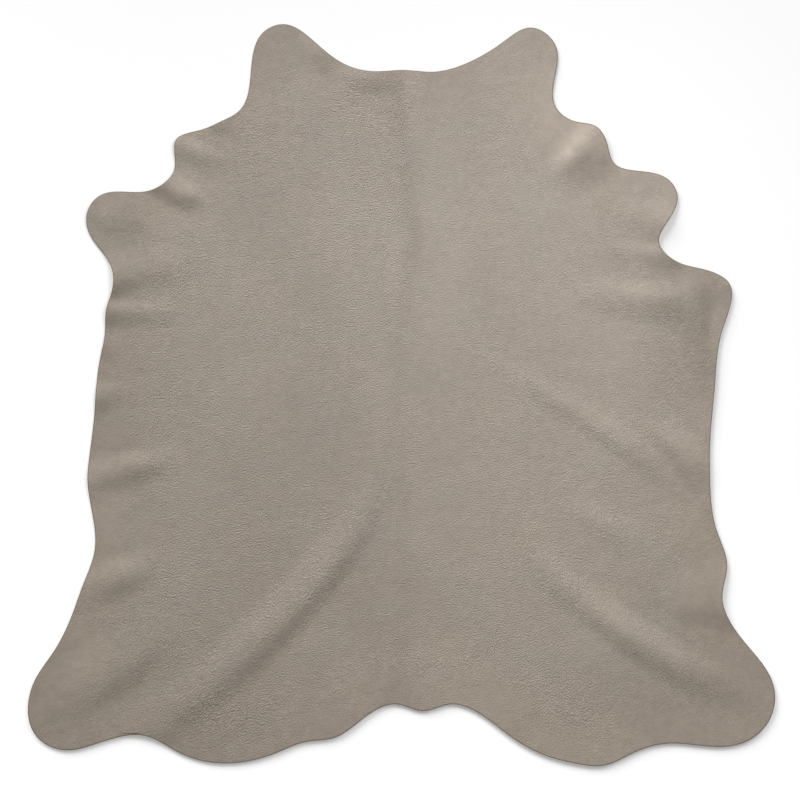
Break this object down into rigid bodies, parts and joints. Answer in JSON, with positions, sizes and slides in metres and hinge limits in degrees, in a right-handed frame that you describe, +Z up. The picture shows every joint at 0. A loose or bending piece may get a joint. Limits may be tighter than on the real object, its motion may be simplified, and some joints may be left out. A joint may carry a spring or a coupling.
{
  "type": "leather hide",
  "caption": "Whole smooth leather hide lying flat on the floor, with the natural outline of neck, legs and belly and low folds.",
  "frame": {"origin": "middle of the hide's outline, on the floor that it lies on", "axes": "+X across the hide to its right side seen from the grain side with the neck up, +Y from the tail to the neck, +Z up from the floor"},
  "size_m": [2.196, 2.1812, 0.0215],
  "materials": {
    "leather": "soft matt taupe grain leather, fine pebbled grain"
  },
  "bodies": {
    "root": {"hide": "leather"}
  },
  "joints": []
}
